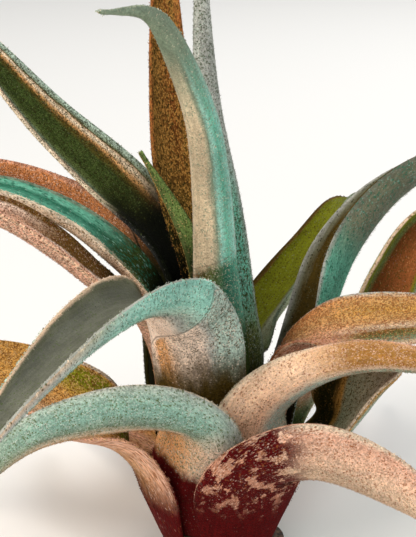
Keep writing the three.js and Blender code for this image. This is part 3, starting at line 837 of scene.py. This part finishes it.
# left_rust: the deep olive base of the upper face, and of the under face's near side, is painted shade where
# the leaf runs into the rosette's cup; the rust brown far side of the under base is its own colour
addLeaf("left_rust", "skin_rust", azimuth=157, shell=5, halfWidths=(6, 8.8),
    midrib=[(18, 31.7, 131), (27, 42.6, 126), (38, 48, 131), (51, 51.1, 137), (60, 50.6, 140),
        (71, 45.6, 144)],
    upper=face({-1: "rose", -0.8: "orange", 0: "rust", 0.85: "orange", 1: "pink"}, ("rustBrown", 0.5),
        ("pinkHair", 0.15), base=("deepOlive", 0.4, 0.54), contrast=0.35),
    under=face({-1: "rose", -0.85: "orange", -0.2: "rust", 0.8: "orange", 1: "pink"}, ("rustBrown", 0.55),
        ("pinkHair", 0.15), base=({-0.2: "deepOlive", 0.2: "rustBrown"}, 0.36, 0.53), contrast=0.35),
    hairs=("pinkHair", 9, 18))
addLeaf("right_pink", "skin_pink", azimuth=299, shell=6, halfWidths=(7.2, 4.5), neck=24, rungs=2,
    fold=(62, 80), turn=-35,
    midrib=[(14, 24, 288), (17.5, 30, 301), (24.5, 34.5, 317), (31.5, 34, 331), (39.5, 30.5, 341),
        (49.5, 22.5, 347)],
    upper=face({-1: "greyGreen", 0: "mossGreen", 0.8: "pink", 1: "cream"}, ("mossGreen", 0.4),
        ("pinkHair", 0.3), base=("mossGreen", 0.2, 0.4)),
    under=face({-0.42: "greyGreen", -0.3: "sand", -0.1: "honey", 0.5: "honey", 0.85: "tan", 0.95: "pink",
        1: "cream"}, ("rust", 0.25), ("pinkHair", 0.35), base=("rust", 0.15, 0.25), foot=({-1: "greyGreen",
        -0.35: "seaGrey", -0.22: "cream", 0: "blush", 0.8: "blush", 1: "cream"}, 0.42, 0.54),
        contrast=0.16),
    hairs=("pinkHair", 13, 33))
# right_outer: the rust brown channel of the upper face is the leaf's own rust deepened as painted shade, and
# the deep olive valley in its foot bands and its deep olive base are painted shade
addLeaf("right_outer", "skin_sage", azimuth=8.5, shell=7, halfWidths=(7.6, 9.4), rungs=2, fold=(80, 90),
    turn=60, turnLength=14,
    midrib=[(19.5, 18.4, 9), (23.5, 25.2, 17.6), (29.5, 38, 23.2), (36, 45.5, 26), (47, 49, 24),
        (60, 44.5, 21.5)],
    upper=face({-1: "sand", -0.95: "olive", -0.72: "mossGreen", -0.58: "rustBrown", 0.35: "rust",
        0.5: "olive", 0.6: "greyGreen", 1: "seaGrey"}, ("oliveBrown", 0.4), ("tan", 0.06),
        base=("deepOlive", 0.05, 0.1), foot=({-1: "tan", -0.93: "oliveBrown", -0.8: "deepOlive",
        -0.5: "deepOlive", -0.38: "gold", -0.26: "paleOlive", 1: "cream"}, 0.33, 0.42), soft=0.3),
    under=face({-1: "seaGrey", 0: "greyGreen", 0.8: "seaGrey", 0.93: "gold"}, ("mossGreen", 0.4),
        ("greyHair", 0.15), blotch=("sand", 0.3, 2.5, 2.0)),
    hairs=("greyHair", 6, 11))
addLeaf("left_low", "skin_sage", azimuth=235, shell=7, halfWidths=(7.5, 8.2), rungs=2, fold=(62, 80),
    turn=40,
    midrib=[(16, 22.5, 254), (21, 25.8, 244), (29.5, 26.8, 231), (37.5, 25, 223), (45, 18.5, 217),
        (51, 11, 213)],
    upper=face({-1: "cream", 0: "greyGreen", 1: "cream"}, ("mossGreen", 0.4), ("greyHair", 0.3),
        base=("mossGreen", 0.2, 0.4)),
    under=face({-1: "mistGrey", -0.88: "seaGrey", -0.6: "dullTeal", -0.35: "dullTeal", -0.1: "greyGreen",
        0.1: "sand", 0.3: "tan"}, ("mossGreen", 0.32), ("greyHair", 0.3), base=("maroon", 0.17, 0.21),
        foot=({-0.75: "mistGrey", -0.5: "petal", -0.1: "blush", 0.3: "apricot"}, 0.27, 0.34),
        tip=("paleOlive", 0.62, 0.9), contrast=0.2),
    hairs=("greyHair", 13, 30))
addLeaf("front_spotted", "skin_pink", azimuth=285, shell=8, halfWidths=(8.5, 9), rungs=2, turn=-30,
    midrib=[(18, 16.5, 288), (22.5, 19, 303), (29.5, 17.6, 315), (37.5, 13.4, 322), (44.5, 7.2, 326)],
    upper=face({-1: "pink", 0: "rose", 1: "pink"}, ("rustBrown", 0.4), ("pinkHair", 0.3),
        base=("maroon", 0.1, 0.3)),
    under=face({0: "sand", 0.8: "pink", 0.95: "cream"}, ("rust", 0.3), ("pinkHair", 0.3),
        base=("maroon", 0.12, 0.3), foot=("rose", 0.34, 0.44), blotch=("maroon", 0.74, 2.0, 0.4),
        contrast=0.28),
    hairs=("pinkHair", 12, 30))
addLeaf("left_outer", "skin_tan", azimuth=205, shell=8, halfWidths=(7.5, 10), rungs=2, fold=(55, 70),
    turn=-60, turnStart=0, turnLength=12,
    midrib=[(15, 15, 208), (19.5, 19.5, 199), (26, 24, 190), (35, 27, 181), (45, 27.2, 175), (57, 22, 172)],
    upper=face({-1: "pink", -0.5: "sand", -0.1: "tan", 0.3: "gold", 0.6: "olive", 0.88: "olive",
        0.95: "gold", 0.985: "mistGrey", 1: "sand"}, ("rustBrown", 0.6), ("goldHair", 0.45),
        base=("maroon", 0.18, 0.26), tip=("gold", 0.5, 0.6), contrast=0.35),
    under=face({-1: "pink", 0: "tan", 1: "pink"}, ("rust", 0.5), ("pinkHair", 0.4),
        base=("maroon", 0.1, 0.26), long=3.0),
    hairs=("goldHair", 10, 20))
addLeaf("back_upper", "skin_sage", azimuth=102, shell=4, halfWidths=(3, 6), neck=36, rungs=2,
    midrib=[(12.5, 22.5, 100), (22, 23, 95), (34, 20.5, 91), (46, 15, 88), (56, 9, 86)],
    upper=face({-1: "cream", -0.7: "seaGrey", 0: "teal", 0.7: "seaGrey", 1: "cream"}, ("deepTeal", 0.5),
        ("greyHair", 0.3), base=("darkGreen", 0.2, 0.4)),
    under=face({-1: "cream", -0.7: "seaGrey", 0.7: "seaGrey", 1: "cream"}, ("deepTeal", 0.4),
        ("greyHair", 0.4), foot=("pink", 0.2, 0.4)),
    hairs=("greyHair", 8, 15))
addLeaf("back_left", "skin_rust", azimuth=114, shell=6, halfWidths=(5.5, 6),
    midrib=[(17, 17.5, 113), (27, 17, 109), (38, 14, 105), (48, 9.5, 101), (56, 6, 99)],
    upper=face({-1: "pink", -0.5: "orange", 0.5: "orange", 1: "pink"}, ("rustBrown", 0.5),
        ("goldHair", 0.35), base=("rustBrown", 0.2, 0.4)),
    under=face({-1: "pink", 0: "orange", 1: "pink"}, ("rustBrown", 0.5), ("pinkHair", 0.4),
        base=("rustBrown", 0.15, 0.35)),
    hairs=("pinkHair", 8, 15))
addLeaf("back_right", "skin_pink", azimuth=61, shell=8, halfWidths=(6, 6.5), rungs=2,
    midrib=[(17, 15, 61), (26, 16.5, 61.5), (39, 16, 63), (52, 12.5, 65), (62, 8.5, 66), (68, 6, 66.5)],
    upper=face({-1: "cream", -0.6: "rose", 0.6: "rose", 1: "cream"}, ("rust", 0.45), ("pinkHair", 0.35),
        base=("mossGreen", 0.2, 0.4)),
    under=face({-1: "cream", 0: "pink", 1: "cream"}, ("rust", 0.4), ("pinkHair", 0.4),
        base=("maroon", 0.1, 0.3), blotch=("maroon", 0.3, 1.2, 0.6)),
    hairs=("pinkHair", 8, 15))
addLeaf("back_low", "skin_tan", azimuth=135, shell=7, halfWidths=(6, 6.5), rungs=2,
    midrib=[(17, 10.5, 133), (25, 11, 131), (35, 9.5, 127), (44, 7.5, 124), (52, 6, 122)],
    upper=face({-1: "cream", -0.6: "tan", 0.2: "pink", 0.6: "gold", 1: "cream"}, ("rust", 0.5),
        ("goldHair", 0.35), base=("maroon", 0.15, 0.25), long=3.0),
    under=face({-1: "cream", 0: "tan", 1: "cream"}, ("rust", 0.4), ("goldHair", 0.4),
        base=("maroon", 0.1, 0.25)),
    hairs=("goldHair", 8, 15))

hairCount = 0
for seed, leaf in enumerate(leaves):
    form = leafForm(leaf)
    blade = makeLeaf(leaf, form, seed)
    hairCount += makeHairs(leaf, form, seed, blade)
    print("leaf", leaf["name"], "done")
print("scales:", hairCount)


# Stem: the frame's own solid, with a bark of dry leaf scars

barkLook = {
    "light": "#7a5a40",
    "dark": "#2e1f15",
    "ringHeight": 1.4,   # mm
    "ringWander": 3.0,
    "grainsPerMetre": 900.0,
    "detail": 5.0,
    "grainTones": (0.3, 0.7),
    "bump": 0.8,
    "relief": 0.3,   # mm
    "roughness": 0.9,
}


def barkMaterial():
    material, tree, shader = emptyMaterial("stem_scars")
    place = tree.nodes.new("ShaderNodeTexCoord").outputs["Object"]
    split = tree.nodes.new("ShaderNodeSeparateXYZ")
    wire(tree, place, split.inputs["Vector"])
    noise = tree.nodes.new("ShaderNodeTexNoise")
    setInputs(noise, {"Scale": barkLook["grainsPerMetre"], "Detail": barkLook["detail"]})
    wire(tree, place, noise.inputs["Vector"])
    grain = noise.outputs["Fac"]
    rings = times(tree, split.outputs["Z"], 2 * math.pi / (barkLook["ringHeight"] * mm))
    rings = sums(tree, "SINE", plus(tree, rings, times(tree, grain, barkLook["ringWander"])))
    mask = times(tree, fade(tree, rings, -1.0, 1.0), fade(tree, grain, *barkLook["grainTones"]))
    colour = mixColours(tree, mask, colourOf(barkLook["dark"]), colourOf(barkLook["light"]))
    wire(tree, colour, shader.inputs["Base Color"])
    addBump(tree, mask, shader, barkLook["bump"], barkLook["relief"])
    shader.inputs["Roughness"].default_value = barkLook["roughness"]
    return material


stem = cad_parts["stem"]
bark = barkMaterial()
for slot in stem.material_slots:
    slot.material = bark
print("stem done")


# Stage: floor, soft boxes, sky and camera

floorSize = 6.0   # m
paper = {"Base Color": colourOf("#f4f4f2"), "Roughness": 0.9, "Specular IOR Level": 0.1}


def makeFloor():
    deselectAll()
    bpy.ops.mesh.primitive_plane_add(size=floorSize, location=(0, 0, 0))
    floor = bpy.context.object
    floor.name = "floor"
    material, tree, shader = emptyMaterial("paper")
    setInputs(shader, paper)
    floor.data.materials.append(material)


def aimAt(thing, target):
    direction = Vector(target) * mm - thing.location
    thing.rotation_euler = direction.to_track_quat("-Z", "Y").to_euler()


def makeSoftBoxes():
    for name, box in softBoxes.items():
        bpy.ops.object.light_add(type="AREA", location=[c * mm for c in box["place"]])
        lamp = bpy.context.object
        lamp.name = name
        lamp.data.shape = "SQUARE"
        lamp.data.size = box["size"] * mm
        lamp.data.energy = box["power"]
        lamp.data.color = colourOf(box["colour"])[:3]
        aimAt(lamp, cameraPlace["aim"])


def makeSky():
    world = bpy.data.worlds.new("sky")
    world.use_nodes = True
    colour = colourOf(skyLight["colour"])
    setInputs(world.node_tree.nodes["Background"], {"Color": colour, "Strength": skyLight["strength"]})
    bpy.context.scene.world = world
    bpy.context.scene.view_settings.view_transform = "Standard"


def makeCamera():
    lift = math.radians(cameraPlace["elevation"])
    back = Vector((0, -math.cos(lift), math.sin(lift)))
    place = (Vector(cameraPlace["aim"]) + back * cameraPlace["distance"]) * mm
    bpy.ops.object.camera_add(location=place)
    camera = bpy.context.object
    camera.data.lens = cameraPlace["lens"]
    camera.data.sensor_width = cameraPlace["sensor"]
    camera.data.clip_start = cameraPlace["nearest"] * mm
    camera.data.dof.use_dof = False
    aimAt(camera, cameraPlace["aim"])
    bpy.context.scene.camera = camera


makeFloor()
makeSoftBoxes()
makeSky()
makeCamera()
print("stage done")
